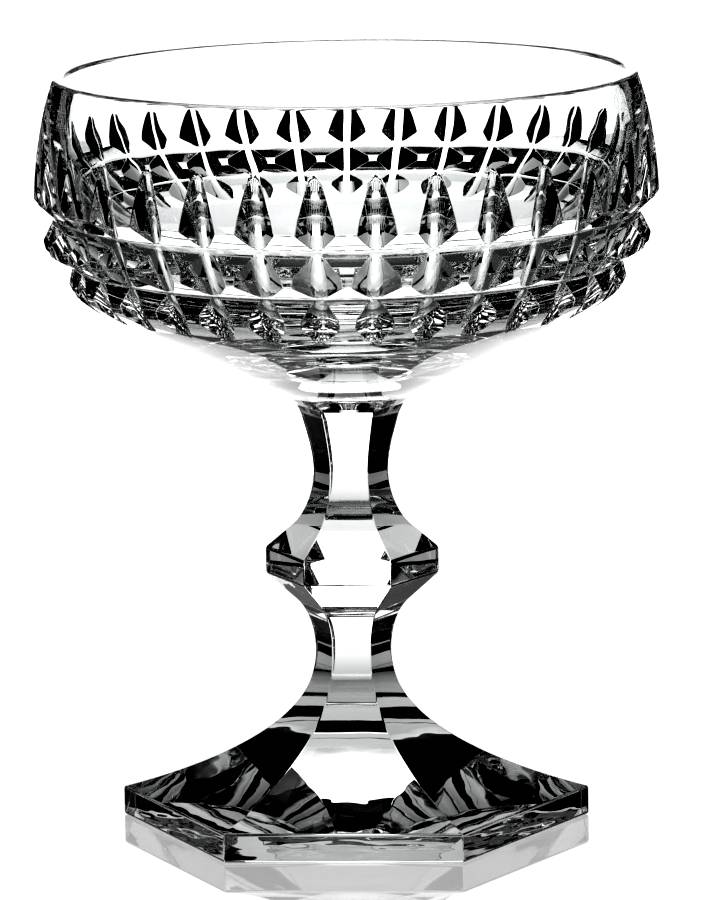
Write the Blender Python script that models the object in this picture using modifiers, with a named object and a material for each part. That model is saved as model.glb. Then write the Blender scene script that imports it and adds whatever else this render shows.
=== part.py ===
"""Sherbet glass in clear crystal: a stepped bowl with mitre cuts, a six-sided knopped stem and a six-sided foot.

Metres, +Z up. The origin is on the glass's axis, in the plane that it stands on.
The three pieces are joined hot, end to end, so their flat joint faces lie in one plane each.
"""

import math

import bmesh
import bpy
from mathutils import Matrix, Vector
from mathutils.geometry import interpolate_bezier

MM = 0.001

# Foot: a hexagon, its radii measured to the corners
FOOT_RADIUS = 37.4 * MM
FOOT_EDGE_HEIGHT = 4.6 * MM
FOOT_EDGE_CHAMFER = 0.5 * MM
FOOT_RISE = 17.4 * MM
FOOT_JOINT_RADIUS = 7.1 * MM
FOOT_JOINT_FLARE = math.radians(22)
FOOT_EDGE_FLARE = math.radians(76)
FOOT_JOINT_PULL = 9.8 * MM
FOOT_EDGE_PULL = 10.2 * MM

# Stem: six-sided, from the foot up to the bowl
LOWER_NECK_RADIUS = 6.1 * MM
LOWER_NECK_FLARE_HEIGHT = 5.2 * MM
LOWER_NECK_HEIGHT = 7.8 * MM
KNOP_UNDER_RADIUS = 8.6 * MM
KNOP_UNDER_HEIGHT = 4.7 * MM
KNOP_RADIUS = 13.85 * MM
KNOP_BAND_HEIGHT = 4.1 * MM
KNOP_EDGE_CHAMFER = 0.3 * MM
KNOP_TOP_RADIUS = 9.0 * MM
KNOP_TOP_HEIGHT = 4.1 * MM
UPPER_NECK_RADIUS = 6.0 * MM
UPPER_NECK_HEIGHT = 8.3 * MM
STEM_HEAD_RADIUS = 7.9 * MM
STEM_TAPER_HEIGHT = 9.4 * MM
BOWL_JOINT_RADIUS = 8.8 * MM
STEM_COLLAR_HEIGHT = 1.8 * MM
NECK_FLARE = math.radians(41)
STEM_TAPER = math.radians(15)

# Bowl: its outer side, from the stem up to the rim
BOWL_RADIUS = 49.3 * MM
UNDERSIDE_HEIGHT = 18.5 * MM
UNDERSIDE_SLOPE = math.radians(25.8)
UNDERSIDE_TURN = 11.0 * MM
LOW_TIER_UNDERCUT = math.radians(50)
COLLAR_WIDTH = 1.6 * MM
COLLAR_RISE = 1.4 * MM
LOW_TIER_FLAT_HEIGHT = 1.5 * MM
LOW_TIER_SLOPE_HEIGHT = 2.6 * MM
LOW_LEDGE_HEIGHT = 0.5 * MM
MIDDLE_TIER_CHAMFER_HEIGHT = 2.2 * MM
MIDDLE_TIER_FLAT_HEIGHT = 1.6 * MM
MIDDLE_TIER_SLOPE_HEIGHT = 3.0 * MM
HIGH_LEDGE_HEIGHT = 1.0 * MM
HIGH_TIER_CHAMFER_HEIGHT = 2.6 * MM
WALL_HEIGHT = 19.1 * MM

# How far each level of the bowl's outer side stands inside its widest line
RIM_DRAW_IN = 3.3 * MM
HIGH_LEDGE_DRAW_IN = 2.7 * MM
MIDDLE_TIER_DRAW_IN = 1.3 * MM
MIDDLE_TIER_LEAN = 0.4 * MM
LOW_LEDGE_DRAW_IN = 5.7 * MM
LOW_TIER_DRAW_IN = 5.2 * MM
LOW_TIER_LEAN = 0.7 * MM

# Bowl: its plain inside
RIM_THICKNESS = 1.7 * MM
BELLY_WALL = 4.5 * MM
INSIDE_RADIUS = 31.0 * MM
FLOOR_THICKNESS = 12.0 * MM
FLOOR_PULL = 20.0 * MM
FLOOR_SIDE_PULL = 6.0 * MM

# Mitre cuts, which run down the bowl through all three tiers
CUT_COUNT = 33
CUT_TURN = math.radians(3.5)
CUT_RISE = 8.6 * MM
CUT_HEAD_DEPTH = 0.05 * MM
CUT_ROOT_WIDTH = 0.6 * MM
CUT_WALL_ANGLE = math.radians(58)
CUT_CLEARANCE = 0.15 * MM
CUT_RUN_OUT = 5.0 * MM

STEM_SIDES = 6
BOWL_STEPS = 72
CURVE_POINTS = 7
LIP_POINTS = 5
CUT_STEPS = 8
MERGE_DISTANCE = 0.00001

CRYSTAL_COLOUR = (0.94, 0.955, 0.955, 1.0)
CRYSTAL_ROUGHNESS = 0.01
CRYSTAL_IOR = 1.54

# Heights that the pieces share, worked out from the foot up
FOOT_JOINT = FOOT_EDGE_HEIGHT + FOOT_RISE
LOWER_NECK = FOOT_JOINT + LOWER_NECK_FLARE_HEIGHT
KNOP_UNDER = LOWER_NECK + LOWER_NECK_HEIGHT
KNOP_BASE = KNOP_UNDER + KNOP_UNDER_HEIGHT
KNOP_CREST = KNOP_BASE + KNOP_BAND_HEIGHT
KNOP_TOP = KNOP_CREST + KNOP_TOP_HEIGHT
UPPER_NECK = KNOP_TOP + UPPER_NECK_HEIGHT
STEM_HEAD = UPPER_NECK + STEM_TAPER_HEIGHT
BOWL_JOINT = STEM_HEAD + STEM_COLLAR_HEIGHT
LOW_TIER_BASE = BOWL_JOINT + UNDERSIDE_HEIGHT
LOW_TIER = LOW_TIER_BASE + LOW_TIER_FLAT_HEIGHT
LOW_LEDGE = LOW_TIER + LOW_TIER_SLOPE_HEIGHT
MIDDLE_TIER_BASE = LOW_LEDGE + LOW_LEDGE_HEIGHT + MIDDLE_TIER_CHAMFER_HEIGHT
MIDDLE_TIER = MIDDLE_TIER_BASE + MIDDLE_TIER_FLAT_HEIGHT
HIGH_LEDGE = MIDDLE_TIER + MIDDLE_TIER_SLOPE_HEIGHT
WIDEST = HIGH_LEDGE + HIGH_LEDGE_HEIGHT + HIGH_TIER_CHAMFER_HEIGHT
RIM = WIDEST + WALL_HEIGHT

RIM_RADIUS = BOWL_RADIUS - RIM_DRAW_IN
HIGH_LEDGE_RADIUS = BOWL_RADIUS - HIGH_LEDGE_DRAW_IN
MIDDLE_TIER_RADIUS = BOWL_RADIUS - MIDDLE_TIER_DRAW_IN
LOW_LEDGE_RADIUS = BOWL_RADIUS - LOW_LEDGE_DRAW_IN
LOW_TIER_RADIUS = BOWL_RADIUS - LOW_TIER_DRAW_IN


def new_collection(name):
    collection = bpy.data.collections.new(name)
    bpy.context.scene.collection.children.link(collection)
    return collection


def crystal(name):
    material = bpy.data.materials.new(name)
    material.use_nodes = True
    shader = material.node_tree.nodes["Principled BSDF"]
    shader.inputs["Base Color"].default_value = CRYSTAL_COLOUR
    shader.inputs["Roughness"].default_value = CRYSTAL_ROUGHNESS
    shader.inputs["Metallic"].default_value = 0.0
    shader.inputs["IOR"].default_value = CRYSTAL_IOR
    shader.inputs["Transmission Weight"].default_value = 1.0
    return material


def down(angle):
    """The direction that leaves straight down by this angle, outwards where it is positive."""
    return Vector((math.sin(angle), -math.cos(angle)))


def sweep(start, start_angle, start_pull, end, end_angle, end_pull):
    """A smooth curve down the profile, leaving and arriving at these angles."""
    start, end = Vector(start), Vector(end)
    first_handle = start + down(start_angle) * start_pull
    last_handle = end - down(end_angle) * end_pull
    return interpolate_bezier(start, first_handle, last_handle, end, CURVE_POINTS)


def even_sweep(start, start_angle, end, end_angle):
    pull = (Vector(end) - Vector(start)).length / 3
    return sweep(start, start_angle, pull, end, end_angle, pull)


def circle_through(first, second, third):
    """The centre and radius of the circle through three points of the profile plane."""
    a, b, c = Vector(first), Vector(second), Vector(third)
    ab, ac = b - a, c - a
    turn = 2 * (ab.x * ac.y - ab.y * ac.x)
    across = ac.y * ab.length_squared - ab.y * ac.length_squared
    along = ab.x * ac.length_squared - ac.x * ab.length_squared
    centre = a + Vector((across, along)) / turn
    return centre, (a - centre).length


def arc_centre(top, bottom, radius):
    """The centre of the arc that bulges outwards from one point of the profile plane down to another."""
    half = (bottom - top) / 2
    inwards = Vector((half.y, -half.x)).normalized()
    return top + half + inwards * math.sqrt(radius**2 - half.length_squared)


def wall_radius(height):
    """The outer side above the widest line: an arc that leaves it upright and ends at the rim."""
    arc = (WALL_HEIGHT**2 + RIM_DRAW_IN**2) / (2 * RIM_DRAW_IN)
    return BOWL_RADIUS - arc + math.sqrt(arc**2 - (height - WIDEST) ** 2)


def between(start, end, count):
    return [start + (end - start) * step / (count - 1) for step in range(count)]


def turned(name, profile, steps, collection):
    """A profile in the XZ plane, turned about Z. Its ends lie on the axis, so it is a closed solid."""
    mesh = bpy.data.meshes.new(name)
    points = [(radius, 0.0, height) for radius, height in profile]
    edges = [(index, index + 1) for index in range(len(points) - 1)]
    mesh.from_pydata(points, edges, [])
    piece = bpy.data.objects.new(name, mesh)
    collection.objects.link(piece)
    screw = piece.modifiers.new("turn", "SCREW")
    screw.axis = "Z"
    screw.steps = steps
    screw.render_steps = steps
    screw.use_merge_vertices = True
    screw.merge_threshold = MERGE_DISTANCE
    screw.use_smooth_shade = False
    piece.data.materials.append(crystal(name + "_crystal"))
    return piece


def foot_profile():
    joint = (FOOT_JOINT_RADIUS, FOOT_JOINT)
    edge = (FOOT_RADIUS, FOOT_EDGE_HEIGHT)
    top = sweep(joint, FOOT_JOINT_FLARE, FOOT_JOINT_PULL, edge, FOOT_EDGE_FLARE, FOOT_EDGE_PULL)
    underside = [
        (FOOT_RADIUS, FOOT_EDGE_CHAMFER),
        (FOOT_RADIUS - FOOT_EDGE_CHAMFER, 0.0),
        (0.0, 0.0),
    ]
    return [(0.0, FOOT_JOINT), *top, *underside]


def stem_profile():
    collar = [(0.0, BOWL_JOINT), (BOWL_JOINT_RADIUS, BOWL_JOINT)]
    head = (STEM_HEAD_RADIUS, STEM_HEAD)
    upper_neck = (UPPER_NECK_RADIUS, UPPER_NECK)
    knop_top = (KNOP_TOP_RADIUS, KNOP_TOP)
    knop_band = [
        (KNOP_RADIUS - KNOP_EDGE_CHAMFER, KNOP_CREST + KNOP_EDGE_CHAMFER),
        (KNOP_RADIUS, KNOP_CREST),
        (KNOP_RADIUS, KNOP_BASE),
        (KNOP_RADIUS - KNOP_EDGE_CHAMFER, KNOP_BASE - KNOP_EDGE_CHAMFER),
    ]
    knop_under = (KNOP_UNDER_RADIUS, KNOP_UNDER)
    lower_neck = (LOWER_NECK_RADIUS, LOWER_NECK)
    joint = (FOOT_JOINT_RADIUS, FOOT_JOINT)
    taper = even_sweep(head, -STEM_TAPER, upper_neck, 0.0)
    shoulder = even_sweep(upper_neck, 0.0, knop_top, NECK_FLARE)
    waist = even_sweep(knop_under, -NECK_FLARE, lower_neck, 0.0)
    flare = even_sweep(lower_neck, 0.0, joint, FOOT_JOINT_FLARE)
    return [*collar, *taper, *shoulder[1:], *knop_band, *waist, *flare[1:], (0.0, FOOT_JOINT)]


def tier_points():
    """The corners of the three tiers, from the widest line down to the plain underside."""
    corners = [
        (BOWL_RADIUS, WIDEST),
        (HIGH_LEDGE_RADIUS, HIGH_LEDGE + HIGH_LEDGE_HEIGHT),
        (HIGH_LEDGE_RADIUS, HIGH_LEDGE),
        (MIDDLE_TIER_RADIUS, MIDDLE_TIER),
        (MIDDLE_TIER_RADIUS - MIDDLE_TIER_LEAN, MIDDLE_TIER_BASE),
        (LOW_LEDGE_RADIUS, LOW_LEDGE + LOW_LEDGE_HEIGHT),
        (LOW_LEDGE_RADIUS, LOW_LEDGE),
        (LOW_TIER_RADIUS, LOW_TIER),
        (LOW_TIER_RADIUS - LOW_TIER_LEAN, LOW_TIER_BASE),
    ]
    return [Vector(corner) for corner in corners]


def lip():
    """The fire-polished rim: half round, from the inner side to the outer one."""
    half = RIM_THICKNESS / 2
    centre = Vector((RIM_RADIUS - half, RIM - half))
    angles = between(math.pi, 0.0, LIP_POINTS)
    return [centre + half * Vector((math.cos(angle), math.sin(angle))) for angle in angles]


def inner_side():
    """The plain inside, from the middle of the floor up to the lip."""
    start = Vector((RIM_RADIUS - RIM_THICKNESS, RIM - RIM_THICKNESS / 2))
    belly = Vector((BOWL_RADIUS - BELLY_WALL, WIDEST))
    centre = arc_centre(start, belly, INSIDE_RADIUS)
    heights = between(LOW_LEDGE, start.y, CURVE_POINTS + 1)
    side = [centre.x + math.sqrt(INSIDE_RADIUS**2 - (height - centre.y) ** 2) for height in heights]
    wall = [Vector(point) for point in zip(side, heights)][:-1]
    foot_angle = -math.asin((centre.y - LOW_LEDGE) / INSIDE_RADIUS)
    floor = (0.0, BOWL_JOINT + FLOOR_THICKNESS)
    flat = -math.pi / 2
    bottom = sweep(wall[0], foot_angle, FLOOR_SIDE_PULL, floor, flat, FLOOR_PULL)
    return [*reversed(bottom), *wall[1:]]


def outer_side():
    """The stepped outside, from the lip down to the joint with the stem."""
    heights = between(RIM - RIM_THICKNESS / 2, WIDEST, CURVE_POINTS)
    wall = [(wall_radius(height), height) for height in heights][1:-1]
    *tiers, base = tier_points()
    joint = Vector((BOWL_JOINT_RADIUS, BOWL_JOINT))
    collar = joint + Vector((COLLAR_WIDTH, COLLAR_RISE))
    bend_radius = base.x - UNDERSIDE_TURN
    bend_height = collar.y + (bend_radius - collar.x) * math.tan(UNDERSIDE_SLOPE)
    bend = Vector((bend_radius, bend_height))
    underside = even_sweep(base, -LOW_TIER_UNDERCUT, bend, UNDERSIDE_SLOPE - math.pi / 2)
    return [*wall, *tiers, *underside, collar, joint]


def cut_arc():
    """The circle that the roots of the cuts follow: through both ledges, and out of the wall above them."""
    head_height = WIDEST + CUT_RISE
    head = (wall_radius(head_height) - CUT_HEAD_DEPTH, head_height)
    return circle_through(head, (HIGH_LEDGE_RADIUS, HIGH_LEDGE), (LOW_LEDGE_RADIUS, LOW_LEDGE))


def cut_mesh():
    """A mitre section, swung along the arc of the roots, at +X."""
    centre, radius = cut_arc()
    depth = max((corner - centre).length for corner in tier_points()) - radius + CUT_CLEARANCE
    root = CUT_ROOT_WIDTH / 2
    mouth = root + depth * math.tan(CUT_WALL_ANGLE)
    top = math.asin((WIDEST + CUT_RISE + CUT_RUN_OUT - centre.y) / radius)
    bottom = math.asin((LOW_TIER_BASE - CUT_RUN_OUT - centre.y) / radius)
    section = [(radius, -root), (radius + depth, -mouth), (radius + depth, mouth), (radius, root)]

    shape = bmesh.new()
    corners = [shape.verts.new((out, across, 0.0)) for out, across in section]
    face = shape.faces.new(corners)
    hub = Vector((centre.x, 0.0, centre.y))
    bmesh.ops.transform(shape, matrix=Matrix.Rotation(-top, 4, "Y"), verts=shape.verts)
    bmesh.ops.translate(shape, vec=hub, verts=shape.verts)
    bmesh.ops.spin(
        shape,
        geom=[face, *face.edges, *face.verts],
        cent=hub,
        axis=(0.0, 1.0, 0.0),
        angle=top - bottom,
        steps=CUT_STEPS,
        use_merge=False,
        use_normal_flip=False,
        use_duplicate=False,
    )
    bmesh.ops.recalc_face_normals(shape, faces=shape.faces)
    mesh = bpy.data.meshes.new("mitre_cut")
    shape.to_mesh(mesh)
    shape.free()
    return mesh


def place_cuts(collection):
    """One cutter for each cut, turned about the glass's axis."""
    mesh = cut_mesh()
    pitch = 2 * math.pi / CUT_COUNT
    first = CUT_TURN - math.pi / 2 + pitch / 2
    for index in range(CUT_COUNT):
        cutter = bpy.data.objects.new(f"mitre_cut_{index + 1:02d}", mesh)
        cutter.rotation_euler.z = first + index * pitch
        cutter.hide_render = True
        cutter.display_type = "WIRE"
        collection.objects.link(cutter)


def make_bowl(collection, cutters):
    bowl = turned("bowl", [*inner_side(), *lip(), *outer_side(), (0.0, BOWL_JOINT)], BOWL_STEPS, collection)
    cuts = bowl.modifiers.new("mitre cuts", "BOOLEAN")
    cuts.operation = "DIFFERENCE"
    cuts.solver = "EXACT"
    cuts.operand_type = "COLLECTION"
    cuts.collection = cutters
    return bowl


def main():
    for thing in list(bpy.data.objects):
        bpy.data.objects.remove(thing, do_unlink=True)
    glass = new_collection("sherbet_glass")
    cutters = new_collection("cutters")
    place_cuts(cutters)
    turned("foot", foot_profile(), STEM_SIDES, glass)
    turned("stem", stem_profile(), STEM_SIDES, glass)
    make_bowl(glass, cutters)


main()
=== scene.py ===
"""Sherbet glass in clear crystal: its fine surfaces, its finish and the stage that it stands on.

The packed solids give the places. Metres, +Z up, with the origin under the middle of the foot.
"""

import math

import bpy
import numpy as np
from bpy.props import FloatProperty, FloatVectorProperty, IntProperty, PointerProperty
from mathutils import Matrix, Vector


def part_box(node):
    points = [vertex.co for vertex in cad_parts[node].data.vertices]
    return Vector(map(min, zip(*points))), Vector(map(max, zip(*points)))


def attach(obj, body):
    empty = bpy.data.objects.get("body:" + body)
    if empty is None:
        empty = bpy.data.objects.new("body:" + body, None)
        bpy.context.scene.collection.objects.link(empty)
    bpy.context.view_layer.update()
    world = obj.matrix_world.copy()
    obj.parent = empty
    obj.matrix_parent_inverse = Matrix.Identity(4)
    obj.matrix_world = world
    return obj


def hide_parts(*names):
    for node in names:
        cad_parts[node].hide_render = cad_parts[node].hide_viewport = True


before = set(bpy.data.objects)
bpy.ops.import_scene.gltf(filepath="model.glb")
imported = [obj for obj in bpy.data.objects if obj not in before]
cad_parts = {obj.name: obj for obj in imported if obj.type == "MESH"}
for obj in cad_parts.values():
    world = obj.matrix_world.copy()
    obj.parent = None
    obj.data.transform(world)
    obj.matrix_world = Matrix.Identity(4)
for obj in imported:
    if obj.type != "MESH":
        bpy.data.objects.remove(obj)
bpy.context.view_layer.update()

bl_info = {
    "name": "Sherbet Glass",
    "version": (1, 0, 0),
    "blender": (4, 5, 0),
    "location": "3D View > Sidebar > Sherbet Glass",
    "description": "Makes a cut crystal sherbet glass and the stage that it stands on",
    "category": "Object",
}

MM = 0.001
MICRON = 0.000001

FOOT_LOW, FOOT_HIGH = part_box("foot")
STEM_LOW, STEM_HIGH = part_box("stem")
BOWL_LOW, BOWL_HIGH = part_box("bowl")

SIDES = 6
HALF_SIDE = math.pi / SIDES

# Places in each piece's list of materials
CRYSTAL, JOINT = 0, 1

# How finely the surfaces are drawn: rows from top to bottom, and columns round the axis
ROUNDING_ROWS = 2
STRAIGHT_ROWS = 3
FOOT_TOP_ROWS = 40
NECK_ROWS = 20
FLARE_ROWS = 12
KNOP_ROWS = 4
FLOOR_ROWS = 12
INNER_WALL_ROWS = 11
PLAIN_WALL_ROWS = 7
CUT_WALL_ROWS = 24
TIER_ROWS = (9, 3, 8, 4, 10, 3, 7, 4)
UNDERSIDE_TURN_ROWS = 17
UNDERSIDE_ROWS = 5
CORNER_COLUMNS = 5
FLAT_COLUMNS = 3
ROOT_COLUMNS = 4

# How near two rows of a profile may come, as a share of their usual distance
ROW_MARGIN = 0.2

# How often the search for a cut's surface, and for its edge, is refined
CUT_ROUNDS = 12
EDGE_ROUNDS = 40

# The least gap between two columns, and the step over which a cut's slopes are measured
COLUMN_GAP = 0.05 * MM
SLOPE_STEP = 0.001 * MM

# The wall's close rows start this far over the cuts
BROW_MARGIN = 2.0 * MM

# Cuts are looked for up to this many times their rise over the widest line, and this far under the low tier
CUT_ZONE_RISE = 1.4
CUT_ZONE_DROP = 6.0 * MM

# From this many times the cuts' rise up, the columns leave the cuts' edges and even out over this height
EVEN_START_RISE = 1.1
EVEN_RISE = 7.0 * MM

# The same, from this far under the low tier down
EVEN_START_DROP = 4.0 * MM
EVEN_DROP = 6.0 * MM

# A thin ledge's height over the length that each of its edges is rounded off by
LEDGE_ROUNDINGS = 2.5

# The camera's sensor in millimetres, and how far it sees in metres
SENSOR_SIZE = 36.0
VIEW_LIMIT = 100.0

TABLE_CORNERS = 96
LIGHT_BOUNCES = 32


def linear(colour):
    """An sRGB hex colour as linear red, green, blue and alpha."""
    shares = [int(colour[start : start + 2], 16) / 255 for start in (0, 2, 4)]
    return [s / 12.92 if s <= 0.04045 else ((s + 0.055) / 1.055) ** 2.4 for s in shares] + [1.0]


def length(name, description, default):
    """A size in metres."""
    return FloatProperty(name=name, description=description, default=default, unit="LENGTH", precision=5)


def angle(name, description, degrees):
    """An angle, given in degrees."""
    return FloatProperty(
        name=name,
        description=description,
        default=math.radians(degrees),
        subtype="ANGLE",
        unit="ROTATION",
    )


def number(name, description, default):
    """A number without a unit, such as a brightness."""
    return FloatProperty(name=name, description=description, default=default)


class FootSizes(bpy.types.PropertyGroup):
    """The six-sided foot, its radii measured to the corners"""

    corner_radius: length("Corner radius", "From the axis to a corner of the foot", FOOT_HIGH.x)
    edge_height: length("Edge height", "How high the upright edge stands", 4.6 * MM)
    edge_rounding: length("Edge rounding", "How far the upper edge is rounded off", 0.4 * MM)
    base_rounding: length("Base rounding", "How far the lower edge is rounded off", 0.5 * MM)
    edge_flare: angle("Edge flare", "How far from straight down the top meets the edge", 76)
    edge_pull: length("Edge pull", "How long the top keeps that slope", 10.2 * MM)
    joint_pull: length("Joint pull", "How long the top keeps the slope of the joint", 9.8 * MM)


class StemSizes(bpy.types.PropertyGroup):
    """The six-sided stem with its knop, from the foot up, its radii measured to the corners"""

    joint_radius: length("Foot joint radius", "From the axis to a corner of the foot's joint", 7.1 * MM)
    joint_flare: angle("Foot joint flare", "How far from straight down the sides run into the foot", 22)
    lower_flare_height: length("Lower flare height", "From the foot's joint up to the lower neck", 5.2 * MM)
    lower_neck_radius: length("Lower neck radius", "The narrowest place under the knop", 6.1 * MM)
    lower_neck_height: length("Lower neck height", "From the lower neck up to the knop", 7.8 * MM)
    knop_under_radius: length("Knop root radius", "Where the knop's under slope starts", 8.6 * MM)
    knop_under_height: length("Knop under height", "How high the knop's under slope is", 4.7 * MM)
    knop_radius: length("Knop radius", "From the axis to a corner of the knop's band", STEM_HIGH.x)
    knop_band_height: length("Knop band height", "How high the knop's upright band is", 4.1 * MM)
    knop_top_height: length("Knop top height", "How high the knop's upper slope is", 4.1 * MM)
    knop_top_radius: length("Knop top radius", "Where the knop's upper slope ends", 9.0 * MM)
    upper_neck_height: length("Upper neck height", "From the knop up to the upper neck", 8.3 * MM)
    upper_neck_radius: length("Upper neck radius", "The narrowest place over the knop", 6.0 * MM)
    taper_height: length("Taper height", "From the upper neck up to the stem's head", 9.4 * MM)
    head_radius: length("Head radius", "Where the collar under the bowl starts", 7.9 * MM)
    collar_radius: length("Collar radius", "From the axis to a corner of the joint with the bowl", 8.8 * MM)
    neck_flare: angle("Neck flare", "How far from straight down the necks run into the knop", 41)
    taper: angle("Taper", "How far from straight down the sides leave the head", 15)
    edge_rounding: length("Edge rounding", "How far the knop's edges are rounded off", 0.4 * MM)
    bend_rounding: length("Bend rounding", "How far the blunt bends are rounded off", 0.5 * MM)
    corner_fillet: length("Corner fillet", "The radius of the six long edges, also the foot's", 0.35 * MM)


class BowlSizes(bpy.types.PropertyGroup):
    """The turned shape of the bowl, from the stem up"""

    radius: length("Radius", "At the widest line", 49.3 * MM)
    joint_radius: length("Joint radius", "The round face that meets the stem", 8.8 * MM)
    collar_width: length("Collar width", "How far the collar over the joint spreads", 1.6 * MM)
    collar_rise: length("Collar rise", "How high the collar over the joint is", 1.4 * MM)
    underside_slope: angle("Underside slope", "Of the plain underside, from level", 25.8)
    underside_turn: length("Underside turn", "How wide the curve up to the low tier is", 11.0 * MM)
    underside_height: length("Underside height", "From the joint up to the low tier", 18.5 * MM)
    low_undercut: angle("Low tier undercut", "How far from straight down the curve leaves the low tier", 50)
    low_flat_height: length("Low flat height", "The low tier's lower face", 1.5 * MM)
    low_slope_height: length("Low slope height", "The low tier's upper face", 2.6 * MM)
    low_ledge_height: length("Low ledge height", "The band between the low and middle tiers", 0.5 * MM)
    middle_chamfer_height: length("Middle chamfer height", "The middle tier's under face", 2.2 * MM)
    middle_flat_height: length("Middle flat height", "The middle tier's upright face", 1.6 * MM)
    middle_slope_height: length("Middle slope height", "The middle tier's upper face", 3.0 * MM)
    high_ledge_height: length("High ledge height", "The band between the middle tier and the wall", 1.0 * MM)
    high_chamfer_height: length("High chamfer height", "The wall's under face", 2.6 * MM)
    rim_draw_in: length("Rim draw-in", "How far the rim stands inside the widest line", 3.3 * MM)
    high_ledge_draw_in: length("High ledge draw-in", "The same, for the high ledge", 2.7 * MM)
    middle_draw_in: length("Middle tier draw-in", "The same, for the middle tier", 1.3 * MM)
    middle_lean: length("Middle tier lean", "How far the middle tier's face leans in", 0.4 * MM)
    low_ledge_draw_in: length("Low ledge draw-in", "The same, for the low ledge", 5.7 * MM)
    low_draw_in: length("Low tier draw-in", "The same, for the low tier", 5.2 * MM)
    low_lean: length("Low tier lean", "How far the low tier's face leans in", 0.7 * MM)
    rim_thickness: length("Rim thickness", "Of the wall at the rim", 1.7 * MM)
    rim_rounding: length("Rim rounding", "How far the rim's two edges are rounded off", 0.6 * MM)
    belly_wall: length("Belly wall", "Thickness of the wall at the widest line", 4.5 * MM)
    inside_radius: length("Inside radius", "Of the arc that the inner wall follows", 31.0 * MM)
    floor_thickness: length("Floor thickness", "Of the bowl's floor over the stem", 12.0 * MM)
    floor_pull: length("Floor pull", "How far out the floor stays level", 20.0 * MM)
    side_pull: length("Side pull", "How far down the inner wall keeps its slope", 6.0 * MM)
    edge_rounding: length("Edge rounding", "How far the tiers' edges are rounded off", 0.3 * MM)


class CutSizes(bpy.types.PropertyGroup):
    """The mitre cuts that run down the bowl through all three tiers"""

    count: IntProperty(name="Count", description="Cuts all round the bowl", default=33, min=3)
    turn: angle("Turn", "From the front round to the middle between two cuts", 3.5)
    rise: length("Rise", "How far over the widest line the cuts start", 8.6 * MM)
    low_slope: angle("Low slope", "How far from straight down the cuts run across the low tier", 29.5)
    root_width: length("Root width", "Across the bottom of a cut, if it were flat", 1.4 * MM)
    wall_angle: angle("Wall angle", "Of a cut's sides, from its middle plane", 50)
    root_rounding: length("Root rounding", "Where the root meets the sides", 0.7 * MM)
    edge_rounding: length("Edge rounding", "Where the sides meet the bowl's surface", 0.12 * MM)


class CrystalFinish(bpy.types.PropertyGroup):
    """The glass"""

    colour: FloatVectorProperty(
        name="Colour",
        description="What is left of white light",
        default=linear("FDFEFE"),
        size=4,
        subtype="COLOR",
    )
    ior: number("IOR", "Of lead crystal", 1.54)
    ripple_length: length("Ripple length", "From crest to crest of the waves left by fire polish", 8.0 * MM)
    bowl_ripple: length("Bowl ripple height", "Height of the waves on the bowl", 70.0 * MICRON)
    stem_ripple: length("Stem ripple height", "Height of the waves on the stem and foot", 100.0 * MICRON)


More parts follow.
